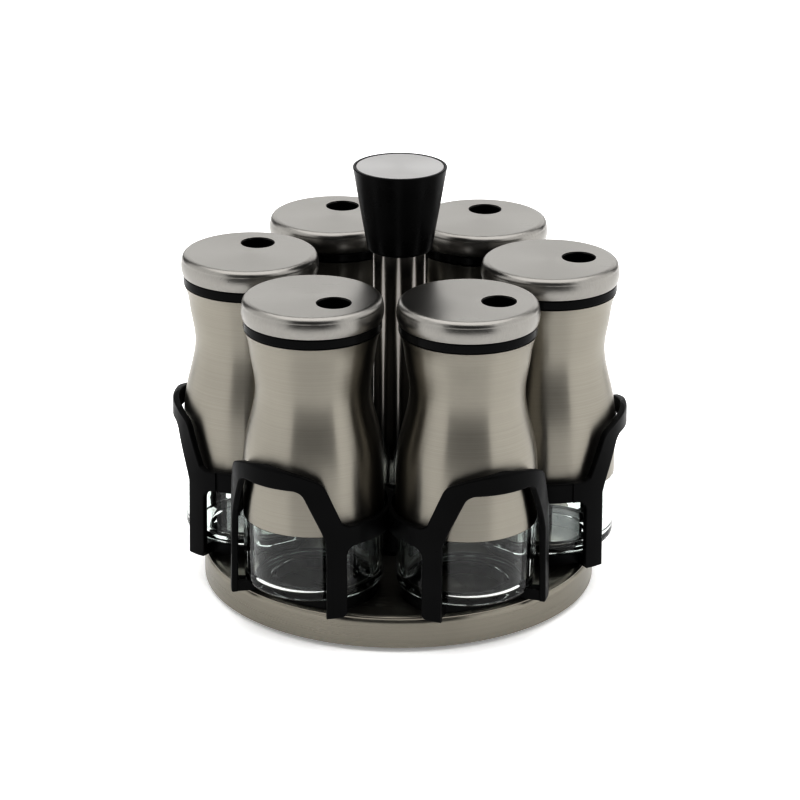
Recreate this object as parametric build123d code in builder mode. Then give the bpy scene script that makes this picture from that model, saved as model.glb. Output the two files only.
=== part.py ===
from build123d import *
import os
from math import atan2, cos, degrees, radians, sin

# Spice carousel. Six glass jars with steel sleeves and dial lids stand in moulded cradles
# on a steel base, which turns on a ball race above a fixed foot plate. A tube and a knob
# rise from the middle. Millimetres, +Z up. The origin is on the table, on the axis of spin.
# A bearing is an angle about Z, in degrees, from -Y towards +X.

# ---- driving dimensions: layout
jar_bearings = [-30, 30, 90, 150, 210, 270]
hole_turns = [80, 57, 16, 24, -38, -99]  # each dial's hole, from its jar's outward direction
jar_circle_radius = 59.1
seam_gap = 0.2

# ---- driving dimensions: fixed stand
foot_height = 2.4
foot_radius = 6.0
foot_circle_radius = 44.0
foot_count = 6
foot_plate_bottom = 1.6
foot_plate_top = 4.0
foot_plate_radius = 52.0
access_hole_radius = 12.0

# ---- driving dimensions: ball race
race_pitch_radius = 38.0
race_thickness = 2.2
race_gap = 2.0
ball_radius = 2.0
ball_count = 18
ball_clearance = 0.05
race_bolt_count = 6
lower_bolt_radius = 31.0
upper_bolt_radius = 45.5

# ---- driving dimensions: base
pan_radius = 78.7
pan_bottom = 2.0
pan_top = 14.6
sheet = 0.6
pan_edge_radius = 3.0
hem_width = 1.8
core_radius = 77.9
core_wall = 1.8
core_skirt_bottom = 2.7
screw_radius = 1.3
screw_head_radius = 2.6
screw_circle_radius = 22.6
boss_length = 2.0

# ---- driving dimensions: cradle, in the jar's own frame (jar axis = Z, outward = -Y)
floor_thickness = 4.4
floor_outer_radius = 25.4
floor_inner_radius = 15.0
floor_reach = 76.2  # from the axis of spin, so that the floor stops at the rim of the base
wall_inner_low = 30.1
wall_inner_high = 29.0
wall_thickness = 2.6
upright_bearing = 51.3
upright_half_angle = 7.4
upright_lift = 0.4
band_bottom = 44.0
band_top = 52.0
band_inner_radius = 28.2
band_thickness = 2.6
edge_round = 0.6
arch_top = 75.9
window_top = 67.3

# ---- driving dimensions: hub, tube and knob
hub_top = 41.0
hub_radius = 14.5
hub_foot_radius = 20.0
tube_radius = 11.0
tube_wall = 0.8
rod_radius = 2.9
knob_bottom = 137.4
knob_top = 171.2
knob_bottom_radius = 12.6
knob_top_radius = 18.4
knob_rim = 1.1
knob_wall = 2.4
tube_seat = 3.0

# ---- driving dimensions: jar, heights from the jar's own bottom
glass_radius = 27.3
glass_shoulder = 27.9
glass_wall = 2.4
glass_floor = 2.6
finish_radius = 20.2
mouth_height = 103.3
sleeve_sheet = 0.5
sleeve_gap = 0.3
skirt_bottom = 92.8
skirt_outer_radius = 22.5
skirt_inner_radius = 21.1
band_low = 103.5
band_high = 107.1
collar_radius = 26.4
collar_recess_radius = 24.5
sifter_low = 104.1
sifter_high = 105.9
lid_radius = 27.2
lid_bottom = 107.4
lid_top = 115.7
lid_sheet = 0.5
lid_shoulder = 2.4
lid_edge_radius = 26.6
lid_bulge_height = 110.9
pour_radius = 6.75
pour_offset = 11.5
pin_radius = 2.9
fit = 0.3

jar_floor = pan_top + floor_thickness
ball_height = foot_plate_top + race_thickness + race_gap / 2
upper_race_bottom = foot_plate_top + race_thickness + race_gap
core_bottom = upper_race_bottom + race_thickness
core_top = pan_top - sheet

os.makedirs("parts", exist_ok=True)


def save(piece, name):
    piece.label = name
    export_step(piece, "parts/" + name + ".step")


def radial_plane(bearing):
    """Upright plane through Z whose X runs outward along a bearing."""
    b = radians(bearing)
    return Plane((0, 0, 0), x_dir=(sin(b), -cos(b), 0), z_dir=(-cos(b), -sin(b), 0))


def facing_plane(bearing):
    """Upright plane through Z that faces outward along a bearing, X to the larger bearings."""
    b = radians(bearing)
    return Plane((0, 0, 0), x_dir=(cos(b), sin(b), 0), z_dir=(sin(b), -cos(b), 0))


def station(bearing):
    """Place of the jar's own frame at one bearing of the carousel."""
    return Location((0, 0, 0), (0, 0, bearing)) * Location((0, -jar_circle_radius, 0))


def ring(inner, outer, low, high):
    """Plain flat ring about Z."""
    with BuildPart() as washer:
        with BuildSketch(Plane.XY.offset(low)):
            Circle(outer)
            Circle(inner, mode=Mode.SUBTRACT)
        extrude(amount=high - low)
    return washer.part


# ---- fixed stand --------------------------------------------------------------------------

with BuildPart() as foot_plate:
    add(ring(access_hole_radius, foot_plate_radius, foot_plate_bottom, foot_plate_top))
    chamfer(foot_plate.edges().filter_by(GeomType.CIRCLE).sort_by(SortBy.RADIUS)[-2:], 0.5)
    with BuildSketch(Plane.XY.offset(foot_plate_bottom)):
        with PolarLocations(foot_circle_radius, foot_count):
            Circle(foot_radius)
    extrude(amount=foot_height - foot_plate_bottom, mode=Mode.SUBTRACT)
    with BuildSketch(Plane.XY.offset(foot_plate_bottom)):
        with PolarLocations(lower_bolt_radius, race_bolt_count):
            Circle(screw_radius + ball_clearance)
    extrude(amount=foot_plate_top, mode=Mode.SUBTRACT)
save(foot_plate.part, "foot_plate")

with BuildPart() as rubber_feet:
    with BuildSketch():
        with PolarLocations(foot_circle_radius, foot_count):
            Circle(foot_radius)
    extrude(amount=foot_height)
    chamfer(rubber_feet.edges().group_by(Axis.Z)[0], 0.5)
save(rubber_feet.part, "rubber_feet")


def race(low, groove_height, inner, outer, bolt_circle):
    """Pressed race ring with a round groove for the balls and a circle of fixing holes."""
    with BuildPart() as plate:
        add(ring(inner, outer, low, low + race_thickness))
        with BuildSketch(Plane.XZ):
            with Locations((race_pitch_radius, groove_height)):
                Circle(ball_radius + ball_clearance)
        revolve(axis=Axis.Z, mode=Mode.SUBTRACT)
        with BuildSketch(Plane.XY.offset(low)):
            with PolarLocations(bolt_circle, race_bolt_count):
                Circle(screw_radius + ball_clearance)
        extrude(amount=race_thickness, mode=Mode.SUBTRACT)
    return plate.part


def pins(bolt_circle, count, shank_low, shank_high, head_low, head_high):
    """Circle of identical headed pins."""
    with BuildPart() as group:
        with BuildSketch(Plane.XY.offset(shank_low)):
            with PolarLocations(bolt_circle, count):
                Circle(screw_radius)
        extrude(amount=shank_high - shank_low)
        with BuildSketch(Plane.XY.offset(head_low)):
            with PolarLocations(bolt_circle, count):
                Circle(screw_head_radius)
        extrude(amount=head_high - head_low)
    return group.part


head_height = 0.8
save(race(foot_plate_top, ball_height, 27.5, 43.0, lower_bolt_radius), "lower_race")
rivet_head = foot_plate_top + race_thickness
save(
    pins(lower_bolt_radius, race_bolt_count, foot_plate_bottom, rivet_head, rivet_head,
         rivet_head + head_height),
    "race_rivets",
)

# ---- ball ring ----------------------------------------------------------------------------

with BuildPart() as ball_ring:
    add(ring(35.0, 41.0, ball_height - 0.6, ball_height + 0.6))
    with BuildSketch(Plane.XY.offset(ball_height - 0.6)):
        with PolarLocations(race_pitch_radius, ball_count):
            Circle(ball_radius + ball_clearance)
    extrude(amount=1.2, mode=Mode.SUBTRACT)
save(ball_ring.part, "ball_ring")

with BuildPart() as bearing_balls:
    with Locations((0, 0, ball_height)):
        with PolarLocations(race_pitch_radius, ball_count):
            Sphere(ball_radius)
save(bearing_balls.part, "bearing_balls")

# ---- turning base -------------------------------------------------------------------------

save(race(upper_race_bottom, ball_height, 33.5, 48.5, upper_bolt_radius), "upper_race")
save(
    pins(upper_bolt_radius, race_bolt_count, upper_race_bottom, core_bottom + 1.6,
         upper_race_bottom - head_height, upper_race_bottom),
    "race_screws",
)

cradle_screw_places = [
    station(bearing) * Location((side * screw_circle_radius, 0, 0))
    for bearing in jar_bearings
    for side in (-1, 1)
]
rod_hole_radius = rod_radius + ball_clearance

with BuildPart() as base_pan:
    with BuildSketch(Plane.XZ):
        with BuildLine():
            Polyline(
                (rod_hole_radius, pan_top),
                (pan_radius, pan_top),
                (pan_radius, pan_bottom),
                (pan_radius - sheet - hem_width, pan_bottom),
                (pan_radius - sheet - hem_width, pan_bottom + sheet),
                (pan_radius - sheet, pan_bottom + sheet),
                (pan_radius - sheet, pan_top - sheet),
                (rod_hole_radius, pan_top - sheet),
                close=True,
            )
        base_section = make_face()
        corners = base_section.vertices()
        fillet(corners.sort_by_distance((pan_radius, pan_top))[0], pan_edge_radius)
    revolve(axis=Axis.Z)
    with BuildSketch(Plane.XY.offset(core_top)):
        with Locations(cradle_screw_places):
            Circle(screw_radius + ball_clearance)
    extrude(amount=sheet, mode=Mode.SUBTRACT)
save(base_pan.part, "base_pan")

rib_count = 24
rib_bottom = 5.0
rib_inner_radius = 55.0
core_inner_radius = core_radius - core_wall
with BuildPart() as base_core:
    with BuildSketch(Plane.XY.offset(core_bottom)):
        Circle(core_radius)
    extrude(amount=core_top - core_bottom)
    add(ring(core_inner_radius, core_radius, core_skirt_bottom, core_top))
    with BuildSketch(Plane.XY.offset(rib_bottom)):
        with PolarLocations((rib_inner_radius + core_inner_radius) / 2 + 0.5, rib_count, 7.5):
            Rectangle(core_inner_radius - rib_inner_radius + 1, 1.4)
    extrude(amount=core_bottom - rib_bottom)
    with BuildSketch(Plane.XY.offset(rib_bottom)):
        with Locations(cradle_screw_places):
            Circle(2 * screw_head_radius)
    extrude(amount=core_bottom - rib_bottom, mode=Mode.SUBTRACT)
    with BuildSketch(Plane.XY.offset(core_bottom - boss_length)):
        with Locations(cradle_screw_places):
            Circle(2 * screw_head_radius)
    extrude(amount=boss_length)
    chamfer(base_core.edges().filter_by(GeomType.CIRCLE).group_by(Axis.Z)[-1], pan_edge_radius / 2)
    with BuildSketch(Plane.XY.offset(core_bottom - boss_length)):
        Circle(rod_hole_radius)
        with Locations(cradle_screw_places):
            Circle(screw_radius + ball_clearance)
    extrude(amount=core_top, mode=Mode.SUBTRACT)
    with BuildSketch(Plane.XY.offset(core_bottom)):
        with PolarLocations(upper_bolt_radius, race_bolt_count):
            Circle(screw_radius + ball_clearance)
    extrude(amount=1.7, mode=Mode.SUBTRACT)
save(base_core.part, "base_core")

screw_low = core_bottom - boss_length
with BuildPart() as cradle_screws:
    with BuildSketch(Plane.XY.offset(screw_low - 1.4)):
        with Locations(cradle_screw_places):
            Circle(screw_head_radius)
    extrude(amount=1.4)
    with BuildSketch(Plane.XY.offset(screw_low)):
        with Locations(cradle_screw_places):
            Circle(screw_radius)
    extrude(amount=pan_top + floor_thickness - 0.5 - screw_low)
save(cradle_screws.part, "cradle_screws")

# ---- cradles ------------------------------------------------------------------------------


def wall_section(plane, low, high, inner_low, inner_high, thickness, top_round):
    """Section of a slightly leaning wall, rounded along its top outer edge."""
    with BuildSketch(plane) as section:
        with BuildLine():
            Polyline(
                (inner_low, low),
                (inner_low + thickness, low),
                (inner_high + thickness, high),
                (inner_high, high),
                close=True,
            )
        make_face()
        fillet(section.vertices().sort_by_distance((inner_high + thickness, high))[0], top_round)
    return section.sketch


def across(bearing, facing):
    """Sideways place, on a facing plane, of a point of the wall at a bearing."""
    return (wall_inner_low + wall_thickness) * sin(radians(bearing - facing))


def bearing_of(edge):
    """Bearing of an edge's middle in the jar's own frame."""
    middle = edge @ 0.5
    return degrees(atan2(middle.X, -middle.Y))


def cradle():
    """Moulded cradle for one jar: floor ring, feet, uprights, arch, waist band, hub gusset."""
    half = upright_bearing + upright_half_angle
    window_side = upright_bearing - upright_half_angle
    wall_low = pan_top + upright_lift
    wing = half + 10
    arm_facing = 43
    with BuildPart() as moulding:
        add(wall_section(radial_plane(-wing), wall_low, arch_top, wall_inner_low, wall_inner_high,
                         wall_thickness, 2.0))
        revolve(axis=Axis.Z, revolution_arc=2 * wing)
        for side in (-1, 1):
            # Window: straight beside the upright, leaning in beside the arch's arm.
            with BuildSketch(facing_plane(side * arm_facing)) as window:
                with BuildLine():
                    Polyline(
                        (side * across(window_side, arm_facing), pan_top - 1),
                        (side * across(window_side, arm_facing), band_top - 6),
                        (side * across(41, arm_facing), band_top - 1.5),
                        (side * across(27, arm_facing), window_top),
                        (side * across(-5, arm_facing), window_top),
                        (side * across(-5, arm_facing), pan_top - 1),
                        close=True,
                    )
                make_face()
                corner = (side * across(27, arm_facing), window_top)
                fillet(window.vertices().sort_by_distance(corner)[0], 5)
            extrude(amount=2 * wall_inner_low, mode=Mode.SUBTRACT)
            # Shoulder: everything outside the arch's sloping arm.
            with BuildSketch(facing_plane(side * arm_facing)) as shoulder:
                with BuildLine():
                    Polyline(
                        (side * across(wing + 6, arm_facing), band_top),
                        (side * across(half + 1, arm_facing), band_top),
                        (side * across(55, arm_facing), band_top + 1.5),
                        (side * across(42, arm_facing), arch_top - 5.4),
                        (side * across(28, arm_facing), arch_top - 2.4),
                        (side * across(6, arm_facing), arch_top + 0.1),
                        (side * across(6, arm_facing), arch_top + 9),
                        (side * across(wing + 6, arm_facing), arch_top + 9),
                        close=True,
                    )
                make_face()
                corner = (side * across(42, arm_facing), arch_top - 5.4)
                fillet(shoulder.vertices().sort_by_distance(corner)[0], 7)
                corner = (side * across(half + 1, arm_facing), band_top)
                fillet(shoulder.vertices().sort_by_distance(corner)[0], 2)
            extrude(amount=2 * wall_inner_low, mode=Mode.SUBTRACT)
            # Beside the upright: a round corner at its foot and a hollow curve up to the band.
            with BuildSketch(facing_plane(side * half)) as hollow:
                with BuildLine():
                    Polyline(
                        (side * across(wing + 6, half), band_bottom),
                        (0, band_bottom),
                        (0, wall_low),
                        (-side * 4, wall_low),
                        (-side * 4, wall_low - 3),
                        (side * across(wing + 6, half), wall_low - 3),
                        close=True,
                    )
                make_face()
                fillet(hollow.vertices().sort_by_distance((0, band_bottom))[0], 4)
                fillet(hollow.vertices().sort_by_distance((0, wall_low))[0], 2.5)
            extrude(amount=2 * wall_inner_low, mode=Mode.SUBTRACT)
        fillet(moulding.edges().filter_by_position(Axis.Z, wall_low + 3, arch_top + 1)
               .filter_by(lambda edge: abs(bearing_of(edge)) < wing - 1), edge_round)
        # Waist band round the back of the jar, from upright to upright.
        add(wall_section(radial_plane(half - 1), band_bottom, band_top, band_inner_radius + 0.6,
                         band_inner_radius + 0.6, band_thickness - 0.2, 0.8))
        revolve(axis=Axis.Z, revolution_arc=360 - 2 * (half - 1))
        # Floor ring, cut back to the rim of the base, and the two feet that carry the uprights.
        with BuildSketch(Plane.XY.offset(pan_top)):
            Circle(floor_outer_radius)
            with Locations((0, jar_circle_radius)):
                Circle(floor_reach, mode=Mode.INTERSECT)
            for side in (-1, 1):
                with BuildLine():
                    low_edge = radians(side * (window_side + 2.5))
                    high_edge = radians(side * (half - 2.5))
                    reach = wall_inner_low + wall_thickness / 2
                    Polyline(
                        (0, 0),
                        (reach * sin(low_edge), -reach * cos(low_edge)),
                        (reach * sin(high_edge), -reach * cos(high_edge)),
                        close=True,
                    )
                make_face()
            Circle(floor_inner_radius, mode=Mode.SUBTRACT)
        extrude(amount=floor_thickness)
        # Gusset to the hub, behind the jar.
        with BuildSketch(Plane.YZ.offset(-1.2)):
            with BuildLine():
                Polyline(
                    (jar_circle_radius - hub_radius - 0.1, pan_top + 20),
                    (jar_circle_radius - hub_radius - 0.1, hub_top - 2),
                    (band_inner_radius + 1.4, band_top - 1),
                    (band_inner_radius + 1.4, band_bottom - 8),
                    close=True,
                )
            make_face()
        extrude(amount=2.4)
        with BuildSketch(Plane.XY.offset(pan_top)):
            with Locations((-screw_circle_radius, 0), (screw_circle_radius, 0)):
                Circle(screw_radius)
        extrude(amount=floor_thickness - 0.5, mode=Mode.SUBTRACT)
        # Flat faces where neighbouring cradles meet.
        with BuildSketch(Plane.XY.offset(pan_top)):
            with BuildLine():
                Polyline(
                    (0, jar_circle_radius - seam_gap),
                    (-80 * sin(radians(30)), jar_circle_radius - seam_gap - 80 * cos(radians(30))),
                    (-40, -60),
                    (40, -60),
                    (80 * sin(radians(30)), jar_circle_radius - seam_gap - 80 * cos(radians(30))),
                    close=True,
                )
            make_face()
        extrude(amount=arch_top, mode=Mode.INTERSECT)
    return moulding.part


cradle_shape = cradle()
for number, bearing in enumerate(jar_bearings, start=1):
    save(cradle_shape.moved(station(bearing)), f"cradle_{number}")

# ---- hub, tube, tie rod and knob ----------------------------------------------------------

with BuildPart() as rack_hub:
    with BuildSketch(Plane.XZ) as section:
        with BuildLine():
            Polyline(
                (tube_radius + ball_clearance, pan_top),
                (hub_foot_radius, pan_top),
                (hub_foot_radius, pan_top + 1.6),
                (hub_radius, pan_top + 7),
                (hub_radius, hub_top),
                (tube_radius + ball_clearance, hub_top),
                close=True,
            )
        make_face()
        fillet(section.vertices().sort_by_distance((hub_radius, hub_top))[0], 1.5)
    revolve(axis=Axis.Z)
save(rack_hub.part, "rack_hub")

save(ring(tube_radius - tube_wall, tube_radius, pan_top, knob_bottom + tube_seat), "centre_tube")

rod_bottom = 5.6
rod_top = 157.0
with BuildPart() as tie_rod:
    with BuildSketch(Plane.XY.offset(rod_bottom)):
        Circle(rod_radius)
    extrude(amount=rod_top - rod_bottom)
    chamfer(tie_rod.edges().filter_by(GeomType.CIRCLE), 0.5)
save(tie_rod.part, "tie_rod")

flange_height = 1.2
nut_height = 3.2
with BuildPart() as rod_nut:
    with BuildSketch(Plane.XY.offset(core_bottom - flange_height)):
        Circle(6.5)
    extrude(amount=flange_height)
    with BuildSketch(Plane.XY.offset(core_bottom - flange_height - nut_height)):
        RegularPolygon(radius=5.7, side_count=6)
    extrude(amount=nut_height)
    with BuildSketch(Plane.XY.offset(core_bottom - flange_height - nut_height)):
        Circle(rod_hole_radius)
    extrude(amount=flange_height + nut_height, mode=Mode.SUBTRACT)
save(rod_nut.part, "rod_nut")

insert_radius = 4.2
insert_low = 146.0
insert_high = 158.0
save(ring(rod_hole_radius, insert_radius, insert_low, insert_high), "knob_insert")

disc_recess = 1.0
disc_radius = knob_top_radius - knob_rim
knob_floor = knob_top - disc_recess - 2.2
with BuildPart() as knob:
    with BuildSketch(Plane.XZ) as section:
        with BuildLine():
            Polyline(
                (0, knob_bottom),
                (knob_bottom_radius, knob_bottom),
                (knob_top_radius, knob_top),
                (disc_radius, knob_top),
                (disc_radius, knob_top - disc_recess),
                (0, knob_top - disc_recess),
                close=True,
            )
        make_face()
        fillet(section.vertices().sort_by_distance((knob_bottom_radius, knob_bottom))[0], 1.4)
    revolve(axis=Axis.Z)
    rim_edges = knob.edges().filter_by(GeomType.CIRCLE).group_by(Axis.Z)[-1]
    fillet(rim_edges.sort_by(SortBy.RADIUS)[-1], 0.4)
    # Tube seat, hollow round the boss, and the boss's bore.
    with BuildSketch(Plane.XY.offset(knob_bottom)):
        Circle(tube_radius + ball_clearance)
    extrude(amount=tube_seat, mode=Mode.SUBTRACT)
    with BuildSketch(Plane.XZ):
        with BuildLine():
            Polyline(
                (6.8, knob_bottom),
                (9.6, knob_bottom),
                (knob_top_radius - knob_wall - 0.8, knob_floor),
                (6.8, knob_floor),
                close=True,
            )
        make_face()
    revolve(axis=Axis.Z, mode=Mode.SUBTRACT)
    with BuildSketch(Plane.XY.offset(knob_bottom)):
        Circle(insert_radius)
    extrude(amount=insert_high - knob_bottom + 2, mode=Mode.SUBTRACT)
save(knob.part, "knob")

with BuildPart() as knob_disc:
    with BuildSketch(Plane.XY.offset(knob_top - disc_recess)):
        Circle(disc_radius - ball_clearance)
    extrude(amount=disc_recess - 0.1)
    chamfer(knob_disc.edges().group_by(Axis.Z)[-1], 0.25)
save(knob_disc.part, "knob_disc")

# ---- jars ---------------------------------------------------------------------------------


def sleeve_points(inset):
    """Waisted outline of the sleeve, moved inward by inset, from its waist-high bulge up."""
    outline = [(27.3, 39.3), (26.4, 58), (24.1, 68), (22.2, 81), (23.9, 92.8)]
    return [(radius - inset, height) for radius, height in outline]


def glass_jar():
    """Thick-bottomed jar that narrows inside the sleeve to a beaded finish."""
    inset = sleeve_sheet + sleeve_gap
    with BuildPart() as jar:
        with BuildSketch(Plane.XZ):
            with BuildLine():
                points = sleeve_points(inset)[:4]
                Line((0, 1.0), (15, 1.0))
                Line((15, 1.0), (17, 0))
                Line((17, 0), (glass_radius - 3.6, 0))
                RadiusArc((glass_radius - 3.6, 0), (glass_radius, 3.6), -3.6)
                Line((glass_radius, 3.6), (glass_radius, glass_shoulder))
                Line((glass_radius, glass_shoulder), (glass_radius - inset, glass_shoulder))
                Line((glass_radius - inset, glass_shoulder), points[0])
                Spline(*points, tangents=((0, 1), (0, 1)))
                Line(points[-1], (points[-1][0], 82.3))
                Line((points[-1][0], 82.3), (finish_radius, 84.3))
                Line((finish_radius, 84.3), (finish_radius, mouth_height))
                Line((finish_radius, mouth_height), (finish_radius - glass_wall, mouth_height))
                inner = [(radius - glass_wall, height) for radius, height in points]
                Line((finish_radius - glass_wall, mouth_height), (finish_radius - glass_wall, 81.3))
                Spline((finish_radius - glass_wall, 81.3), *reversed(inner[:-1]),
                       tangents=((0, -1), (0, -1)))
                Line(inner[0], (inner[0][0], glass_floor + 3.5))
                RadiusArc((inner[0][0], glass_floor + 3.5), (inner[0][0] - 3.5, glass_floor), 3.5)
                Line((inner[0][0] - 3.5, glass_floor), (0, glass_floor))
                Line((0, glass_floor), (0, 1.0))
            make_face()
        revolve(axis=Axis.Z)
        # Two rounded beads on the finish stand for the jar's screw thread.
        with BuildSketch(Plane.XZ):
            with Locations((finish_radius, 96), (finish_radius, 100)):
                Circle(0.6)
        revolve(axis=Axis.Z)
    return jar.part


def steel_sleeve():
    """Thin waisted sleeve, open at both ends, flared under the collar."""
    flare = (26.2, 103.2)
    with BuildPart() as sleeve:
        with BuildSketch(Plane.XZ):
            with BuildLine():
                outer = sleeve_points(0)
                inner = sleeve_points(sleeve_sheet)
                inner_flare = (flare[0] - sleeve_sheet, flare[1])
                Line((glass_radius, glass_shoulder + 0.1), outer[0])
                Spline(*outer, flare, tangents=((0, 1), (0.45, 1)))
                Line(flare, inner_flare)
                Spline(inner_flare, *reversed(inner), tangents=((-0.45, -1), (0, -1)))
                Line(inner[0], (glass_radius - sleeve_sheet, glass_shoulder + 0.1))
                Line((glass_radius - sleeve_sheet, glass_shoulder + 0.1),
                     (glass_radius, glass_shoulder + 0.1))
            make_face()
        revolve(axis=Axis.Z)
    return sleeve.part


def sifter_cap():
    """Screw-on collar with a sprinkling plate. Its blank third lies on the outward side."""
    with BuildPart() as cap:
        with BuildSketch(Plane.XZ) as section:
            with BuildLine():
                Polyline(
                    (pin_radius + 0.1, sifter_low),
                    (skirt_inner_radius, sifter_low),
                    (skirt_inner_radius, skirt_bottom),
                    (skirt_outer_radius, skirt_bottom),
                    (skirt_outer_radius, band_low),
                    (collar_radius, band_low),
                    (collar_radius, band_high),
                    (collar_recess_radius, band_high),
                    (collar_recess_radius, sifter_high),
                    (pin_radius + 0.1, sifter_high),
                    close=True,
                )
            make_face()
            fillet(section.vertices().sort_by_distance((collar_radius, band_low))[0], 0.6)
            fillet(section.vertices().sort_by_distance((collar_radius, band_high))[0], 0.4)
        revolve(axis=Axis.Z)
        with BuildSketch(Plane.XY.offset(sifter_low)):
            with Locations(facing_place(120, pour_offset)):
                Circle(pour_radius - 0.5)
            for spot in [(0, 0)] + [(3.6 * cos(radians(60 * k)), 3.6 * sin(radians(60 * k)))
                                    for k in range(6)]:
                with Locations(facing_place(-120, pour_offset) * Location((spot[0], spot[1], 0))):
                    Circle(1.1)
        extrude(amount=sifter_high - sifter_low, mode=Mode.SUBTRACT)
    return cap.part


def facing_place(bearing, distance):
    """Place at a distance from Z along a bearing."""
    b = radians(bearing)
    return Location((distance * sin(b), -distance * cos(b), 0))


def cap_gasket():
    """Soft seal between the jar's mouth and the cap."""
    return ring(finish_radius - glass_wall - 0.4, finish_radius - 0.2, mouth_height, sifter_low)


def dial_insert():
    """Plastic liner of the dial: plate, rim, pouring chute and the pin that snaps into the cap."""
    plate_low = sifter_high + fit
    plate_high = plate_low + 1.4
    lid_inside = lid_top - lid_sheet
    with BuildPart() as liner:
        add(ring(0.001, collar_recess_radius - fit, plate_low, plate_high))
        with BuildSketch(Plane.XY.offset(plate_low)):
            Circle(pin_radius)
        extrude(amount=plate_high - plate_low)
        add(ring(collar_recess_radius - fit - 1.4, collar_recess_radius - fit, plate_low, lid_top - 4))
        with BuildSketch(Plane.XY.offset(plate_low)):
            with Locations((0, -pour_offset)):
                Circle(pour_radius + 1)
        extrude(amount=lid_inside - plate_low)
        with BuildSketch(Plane.XY.offset(plate_high)):
            Circle(3.6)
        extrude(amount=lid_inside - plate_high)
        with BuildSketch(Plane.XY.offset(plate_low)):
            with Locations((0, -pour_offset)):
                Circle(pour_radius - 0.4)
        extrude(amount=lid_inside - plate_low, mode=Mode.SUBTRACT)
        # Snap pin down through the cap, with a barb under the plate.
        with BuildSketch(Plane.XY.offset(sifter_low - 1.6)):
            Circle(pin_radius)
        extrude(amount=plate_low - sifter_low + 1.6)
        with BuildSketch(Plane.XY.offset(sifter_low - 1.6)):
            Circle(pin_radius + 0.6)
        extrude(amount=1.3)
    return liner.part


def lid_section(inset, top, bottom):
    """Outline of the lid, moved inward by inset, from its bottom edge to the middle of its top."""
    side = lid_radius - inset
    shoulder = (side - 0.4, top - lid_shoulder)
    crown = (side - 0.4 - lid_shoulder, top)
    Spline((lid_edge_radius - inset, bottom), (side, lid_bulge_height), shoulder)
    RadiusArc(shoulder, crown, -lid_shoulder)
    Line(crown, (0, top))


def steel_lid():
    """Pressed steel dial with a tight shoulder and one off-centre pouring hole."""
    with BuildPart() as lid:
        with BuildSketch(Plane.XZ):
            with BuildLine():
                lid_section(0, lid_top, lid_bottom)
                Line((0, lid_top), (0, lid_bottom))
                Line((0, lid_bottom), (lid_edge_radius, lid_bottom))
            make_face()
            with BuildLine():
                lid_section(lid_sheet, lid_top - lid_sheet, lid_bottom)
                Line((0, lid_top - lid_sheet), (0, lid_bottom))
                Line((0, lid_bottom), (lid_edge_radius - lid_sheet, lid_bottom))
            make_face(mode=Mode.SUBTRACT)
        revolve(axis=Axis.Z)
        with BuildSketch(Plane.XY.offset(lid_top - lid_sheet)):
            with Locations((0, -pour_offset)):
                Circle(pour_radius)
        extrude(amount=lid_sheet, mode=Mode.SUBTRACT)
    return lid.part


jar_pieces = {"glass_jar": glass_jar(), "steel_sleeve": steel_sleeve(), "cap_gasket": cap_gasket()}
dial_pieces = {"sifter_cap": sifter_cap(), "dial_insert": dial_insert(), "steel_lid": steel_lid()}
for number, (bearing, turn) in enumerate(zip(jar_bearings, hole_turns), start=1):
    stand = station(bearing) * Location((0, 0, jar_floor))
    for name, shape in jar_pieces.items():
        save(shape.moved(stand), f"{name}_{number}")
    for name, shape in dial_pieces.items():
        save(shape.moved(stand * Location((0, 0, 0), (0, 0, turn))), f"{name}_{number}")
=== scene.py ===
from math import cos, pi, radians, sin

import bpy
from mathutils import Matrix, Vector

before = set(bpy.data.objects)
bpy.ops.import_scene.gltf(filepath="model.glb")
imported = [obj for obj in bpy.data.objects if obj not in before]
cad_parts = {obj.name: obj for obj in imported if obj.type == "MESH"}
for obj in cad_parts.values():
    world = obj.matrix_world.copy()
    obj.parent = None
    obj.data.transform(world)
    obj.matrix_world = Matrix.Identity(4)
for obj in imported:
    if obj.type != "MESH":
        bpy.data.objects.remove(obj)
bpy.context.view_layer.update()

# Looks for the spice carousel. Metres, +Z up, the origin on the floor on the axis of spin.

# ---- camera and light --------------------------------------------------------------------

CAMERA_BEARING = radians(3.9)
CAMERA_DISTANCE = 1.1624
CAMERA_HEIGHT = 0.5209
CAMERA_TARGET = Vector((0, 0, 0.0738))
CAMERA_ROLL = radians(0.2)
CAMERA_LENS = 140.3
CAMERA_SHIFT = 0.001

VIEW_GAMMA = 0.62
WORLD_STRENGTH = 0.10
FLOOR_REACH = 4.0
FLOOR_GREY = 0.94
FLOOR_GLOW = 0.34


def aim(obj, place, target):
    """Put an object somewhere with its -Z towards a target and its Y up."""
    place = Vector(place)
    turn = (Vector(target) - place).to_track_quat("-Z", "Y")
    obj.matrix_world = Matrix.Translation(place) @ turn.to_matrix().to_4x4()


def make_camera():
    data = bpy.data.cameras.new("camera")
    data.lens = CAMERA_LENS
    data.sensor_width = 36
    data.clip_end = 50
    data.shift_x = CAMERA_SHIFT
    camera = bpy.data.objects.new("camera", data)
    bpy.context.scene.collection.objects.link(camera)
    place = (CAMERA_DISTANCE * sin(CAMERA_BEARING), -CAMERA_DISTANCE * cos(CAMERA_BEARING),
             CAMERA_HEIGHT)
    aim(camera, place, CAMERA_TARGET)
    camera.matrix_world = camera.matrix_world @ Matrix.Rotation(CAMERA_ROLL, 4, "Z")
    bpy.context.scene.camera = camera


def area_light(name, place, target, width, height, power, colour=(1, 1, 1)):
    data = bpy.data.lights.new(name, "AREA")
    data.shape = "RECTANGLE"
    data.size = width
    data.size_y = height
    data.energy = power
    data.color = colour
    light = bpy.data.objects.new(name, data)
    bpy.context.scene.collection.objects.link(light)
    aim(light, place, target)
    return light


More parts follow.
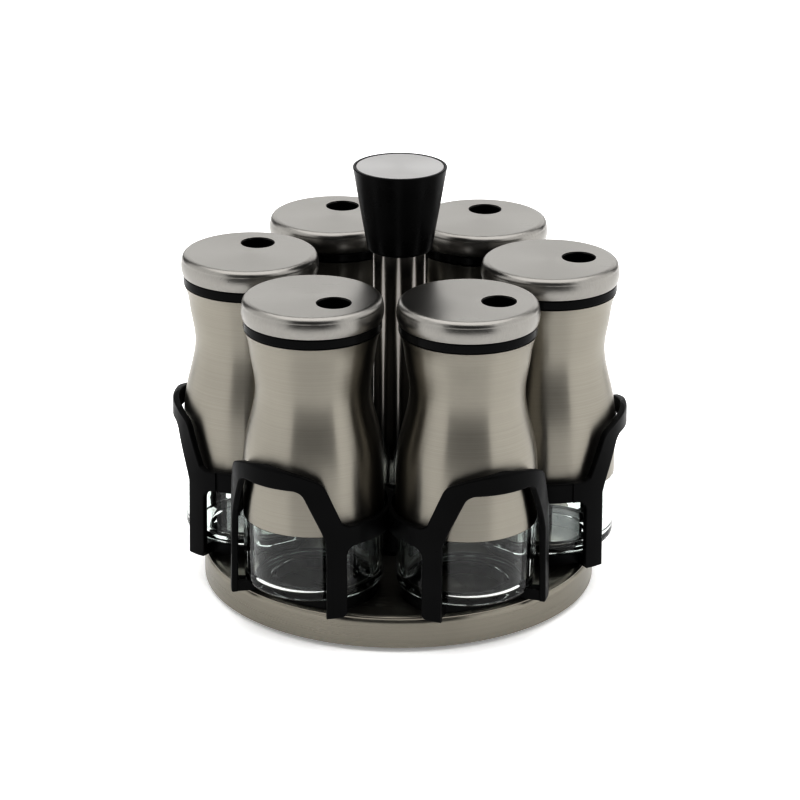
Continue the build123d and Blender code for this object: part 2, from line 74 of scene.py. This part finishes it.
def make_studio():
    scene = bpy.context.scene
    scene.view_settings.view_transform = "Standard"
    scene.view_settings.look = "None"
    scene.view_settings.gamma = VIEW_GAMMA
    world = bpy.data.worlds.new("studio")
    world.use_nodes = True
    background = world.node_tree.nodes["Background"]
    background.inputs["Color"].default_value = (1, 1, 1, 1)
    background.inputs["Strength"].default_value = WORLD_STRENGTH
    scene.world = world
    area_light("softbox_left", (-1.15, -0.55, 0.72), (0.0, -0.55, 0.72), 2.6, 1.4, 15)
    area_light("softbox_right", (1.15, -0.15, 0.72), (0.0, -0.15, 0.72), 2.2, 1.4, 14)
    area_light("softbox_back", (0.0, 1.7, 0.75), (0, 0, 0.1), 2.6, 1.2, 13.5)
    area_light("softbox_top", (0.0, 0.05, 1.45), (0, 0, 0.1), 2.2, 2.1, 30)

    mesh = bpy.data.meshes.new("floor")
    reach = FLOOR_REACH
    mesh.from_pydata([(-reach, -reach, 0), (reach, -reach, 0), (reach, reach, 0),
                      (-reach, reach, 0)], [], [(0, 1, 2, 3)])
    floor = bpy.data.objects.new("floor", mesh)
    scene.collection.objects.link(floor)
    material = bpy.data.materials.new("floor_paper")
    material.use_nodes = True
    shader = material.node_tree.nodes["Principled BSDF"]
    shader.inputs["Base Color"].default_value = (FLOOR_GREY, FLOOR_GREY, FLOOR_GREY, 1)
    shader.inputs["Roughness"].default_value = 0.9
    shader.inputs["Emission Color"].default_value = (1, 1, 1, 1)
    shader.inputs["Emission Strength"].default_value = FLOOR_GLOW
    mesh.materials.append(material)


# ---- material kit ------------------------------------------------------------------------


class Graph:
    """Short-hand for building one material's nodes."""

    def __init__(self, name, **settings):
        self.material = bpy.data.materials.new(name)
        self.material.use_nodes = True
        self.nodes = self.material.node_tree.nodes
        self.links = self.material.node_tree.links
        self.shader = self.nodes["Principled BSDF"]
        for socket, value in settings.items():
            self.shader.inputs[socket.replace("_", " ")].default_value = value

    def add(self, kind, inputs=None, **properties):
        node = self.nodes.new(kind)
        for key, value in properties.items():
            setattr(node, key, value)
        for key, value in (inputs or {}).items():
            if isinstance(value, bpy.types.NodeSocket):
                self.links.new(value, node.inputs[key])
            else:
                node.inputs[key].default_value = value
        return node

    def math(self, operation, a, b=0.0):
        return self.add("ShaderNodeMath", {0: a, 1: b}, operation=operation).outputs[0]

    def noise(self, vector, scale, detail=2.0, roughness=0.5):
        node = self.add("ShaderNodeTexNoise", {"Vector": vector, "Scale": scale, "Detail": detail,
                                               "Roughness": roughness})
        return node.outputs["Fac"]

    def span(self, value, low, high, from_low=0.3, from_high=0.7):
        """Map a noise value to a range."""
        node = self.add("ShaderNodeMapRange", {"Value": value, "From Min": from_low,
                                               "From Max": from_high, "To Min": low,
                                               "To Max": high})
        return node.outputs["Result"]

    def mix(self, factor, first, second):
        """Blend two colours by a factor from 0 to 1."""
        node = self.add("ShaderNodeMix", data_type="RGBA")
        self.links.new(factor, node.inputs["Factor"])
        colour_inputs = [s for s in node.inputs if s.type == "RGBA"]
        colour_inputs[0].default_value = (*first, 1)
        colour_inputs[1].default_value = (*second, 1)
        return [s for s in node.outputs if s.type == "RGBA"][0]

    def bump(self, height, strength, distance):
        node = self.add("ShaderNodeBump", {"Height": height, "Strength": strength,
                                           "Distance": distance})
        self.links.new(node.outputs["Normal"], self.shader.inputs["Normal"])

    def set(self, socket, value):
        self.links.new(value, self.shader.inputs[socket])


def place_of(graph):
    return graph.add("ShaderNodeTexCoord").outputs["Object"]


def stretched(graph, scale, rotation=(0, 0, 0)):
    """Object coordinates, turned and scaled, so noise draws out into grain."""
    node = graph.add("ShaderNodeMapping", {"Vector": place_of(graph), "Rotation": rotation,
                                           "Scale": scale})
    return node.outputs["Vector"]


def turned_grain(graph, along, across):
    """Coordinates for grain that runs round a piece of revolution, on its sides and top."""
    share = graph.add("ShaderNodeTexCoord").outputs["Generated"]
    middle = graph.add("ShaderNodeVectorMath", {0: share, 1: (0.5, 0.5, 0)},
                       operation="SUBTRACT")
    flat = graph.add("ShaderNodeVectorMath", {0: middle.outputs[0], 1: (1, 1, 0)},
                     operation="MULTIPLY")
    radius = graph.add("ShaderNodeVectorMath", {0: flat.outputs[0]}, operation="LENGTH")
    place = graph.add("ShaderNodeSeparateXYZ", {0: place_of(graph)})
    rise = graph.math("ADD", graph.math("MULTIPLY", place.outputs["Z"], across),
                      graph.math("MULTIPLY", radius.outputs["Value"], across * 0.06))
    vector = graph.add("ShaderNodeCombineXYZ", {
        "X": graph.math("MULTIPLY", place.outputs["X"], along),
        "Y": graph.math("MULTIPLY", place.outputs["Y"], along),
        "Z": rise,
    })
    return vector.outputs[0]


def brushed_metal(name, colour, roughness, anisotropy, grain, tangent=True):
    """Steel with drawn-out grain in its colour, gloss and relief. grain makes the coordinates."""
    graph = Graph(name, Metallic=1.0, Anisotropic=anisotropy, Anisotropic_Rotation=0.25)
    lines = graph.noise(grain(graph), 1.0, 3.0, 0.65)
    cloud = graph.noise(place_of(graph), 34.0, 2.0, 0.5)
    dark = tuple(0.94 * c for c in colour)
    light = tuple(min(1.0, 1.04 * c) for c in colour)
    graph.set("Base Color", graph.mix(graph.span(lines, 0, 1), dark, light))
    rough_lines = graph.span(lines, roughness - 0.04, roughness + 0.04)
    rough_cloud = graph.span(cloud, -0.015, 0.02)
    graph.set("Roughness", graph.math("ADD", rough_lines, rough_cloud))
    if tangent:
        node = graph.add("ShaderNodeTangent", direction_type="RADIAL", axis="Z")
        graph.set("Tangent", node.outputs[0])
    graph.bump(lines, 0.04, 0.00001)
    return graph.material


def moulded_plastic(name, colour, roughness, grain_scale=2600.0, relief=0.00003):
    """Moulded plastic: fine spark-eroded grain, soft flow marks and slightly worn gloss."""
    graph = Graph(name, IOR=1.49, Specular_IOR_Level=0.17)
    grain = graph.noise(place_of(graph), grain_scale, 2.0, 0.6)
    flow = graph.noise(stretched(graph, (22, 22, 55)), 1.0, 2.0, 0.5)
    rub = graph.noise(place_of(graph), 120.0, 3.0, 0.6)
    light = tuple(c * 1.7 + 0.002 for c in colour)
    graph.set("Base Color", graph.mix(graph.span(flow, 0, 1), colour, light))
    rough = graph.math("ADD", graph.span(rub, roughness - 0.06, roughness + 0.07),
                       graph.span(flow, -0.03, 0.03))
    graph.set("Roughness", rough)
    graph.bump(grain, 0.35, relief)
    return graph.material


def clear_glass():
    graph = Graph("jar_glass", Transmission_Weight=1.0, IOR=1.5)
    wave = graph.noise(stretched(graph, (16, 16, 30)), 1.0, 1.0, 0.4)
    smear = graph.noise(place_of(graph), 70.0, 3.0, 0.6)
    tint = graph.mix(graph.span(wave, 0, 1), (0.93, 0.965, 0.95), (0.97, 0.985, 0.975))
    graph.set("Base Color", tint)
    graph.set("Roughness", graph.span(smear, 0.0, 0.002, 0.45, 0.75))
    graph.bump(wave, 0.10, 0.0002)
    return graph.material


def soft_rubber(name, colour):
    graph = Graph(name, IOR=1.5)
    pores = graph.noise(place_of(graph), 1400.0, 3.0, 0.6)
    dust = graph.noise(place_of(graph), 90.0, 3.0, 0.6)
    dusty = tuple(c + 0.03 for c in colour)
    graph.set("Base Color", graph.mix(graph.span(dust, 0, 1, 0.4, 0.8), colour, dusty))
    graph.set("Roughness", graph.span(pores, 0.62, 0.85))
    graph.bump(pores, 0.4, 0.00005)
    return graph.material


def cast_metal(name, colour, roughness):
    graph = Graph(name, Metallic=1.0)
    stain = graph.noise(place_of(graph), 160.0, 3.0, 0.6)
    scuff = graph.noise(stretched(graph, (400, 60, 900)), 1.0, 2.0, 0.6)
    stained = tuple(0.8 * c for c in colour)
    graph.set("Base Color", graph.mix(graph.span(stain, 0, 1), stained, colour))
    graph.set("Roughness", graph.span(scuff, roughness - 0.08, roughness + 0.1))
    graph.bump(scuff, 0.15, 0.00003)
    return graph.material


# ---- materials on the CAD nodes ----------------------------------------------------------

GLASS_SKIN = 0.00002
LID_TURNS = [0.06, -0.04, 0.10, 0.02, -0.09, 0.05]


def rim_grain(graph):
    return turned_grain(graph, 7.0, 5200.0)


def sheet_grain(angle):
    def grain(graph):
        return stretched(graph, (45, 3800, 400), (0, 0, angle))
    return grain


def part_from_cradle(glass):
    """Take a hair off the glass, so its foot and the cradle's floor aren't the same plane."""
    skin = glass.modifiers.new("skin", "DISPLACE")
    skin.mid_level = 0
    skin.strength = -GLASS_SKIN


def make_materials():
    steel = (0.37, 0.352, 0.315)
    finishes = {
        "base_pan": brushed_metal("base_steel", (0.315, 0.298, 0.262), 0.30, 0.7, rim_grain),
        "steel_sleeve": brushed_metal("sleeve_steel", steel, 0.34, 0.9, rim_grain),
        "centre_tube": brushed_metal("tube_steel", (0.34, 0.325, 0.31), 0.19, 0.6, rim_grain),
        "knob_disc": brushed_metal("knob_disc_satin", (0.46, 0.455, 0.45), 0.36, 0.4, rim_grain),
        "cradle": moulded_plastic("cradle_black", (0.0035, 0.0035, 0.0038), 0.34),
        "rack_hub": moulded_plastic("hub_black", (0.0035, 0.0035, 0.0038), 0.34),
        "knob": moulded_plastic("knob_black", (0.0035, 0.0035, 0.0038), 0.30),
        "sifter_cap": moulded_plastic("cap_black", (0.0035, 0.0035, 0.0038), 0.22),
        "dial_insert": moulded_plastic("dial_black", (0.0035, 0.0035, 0.0038), 0.24),
        "foot_plate": moulded_plastic("plate_black", (0.012, 0.012, 0.012), 0.45),
        "ball_ring": moulded_plastic("ball_ring_black", (0.012, 0.012, 0.012), 0.42),
        "base_core": moulded_plastic("core_black", (0.012, 0.012, 0.012), 0.45),
        "glass_jar": clear_glass(),
        "cap_gasket": soft_rubber("seal_rubber", (0.30, 0.30, 0.29)),
        "rubber_feet": soft_rubber("foot_rubber", (0.035, 0.035, 0.035)),
        "lower_race": cast_metal("race_steel_lower", (0.50, 0.49, 0.47), 0.32),
        "upper_race": cast_metal("race_steel_upper", (0.50, 0.49, 0.47), 0.32),
        "bearing_balls": cast_metal("ball_steel", (0.62, 0.61, 0.60), 0.14),
        "race_rivets": cast_metal("rivet_steel", (0.52, 0.51, 0.50), 0.34),
        "race_screws": cast_metal("screw_steel_race", (0.52, 0.51, 0.50), 0.34),
        "cradle_screws": cast_metal("screw_steel_cradle", (0.52, 0.51, 0.50), 0.34),
        "tie_rod": cast_metal("rod_steel", (0.52, 0.51, 0.50), 0.36),
        "rod_nut": cast_metal("nut_steel", (0.52, 0.51, 0.50), 0.36),
        "knob_insert": cast_metal("insert_brass", (0.62, 0.47, 0.22), 0.30),
    }
    for number, turn in enumerate(LID_TURNS, start=1):
        finishes[f"steel_lid_{number}"] = brushed_metal(
            f"lid_steel_{number}", (0.36, 0.35, 0.333), 0.32, 0.3, sheet_grain(turn), tangent=False)
    for name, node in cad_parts.items():
        kind = name if name in finishes else name.rstrip("0123456789").rstrip("_")
        for slot in node.material_slots:
            slot.material = finishes[kind]
        if kind == "glass_jar":
            part_from_cradle(node)


make_camera()
make_studio()
make_materials()
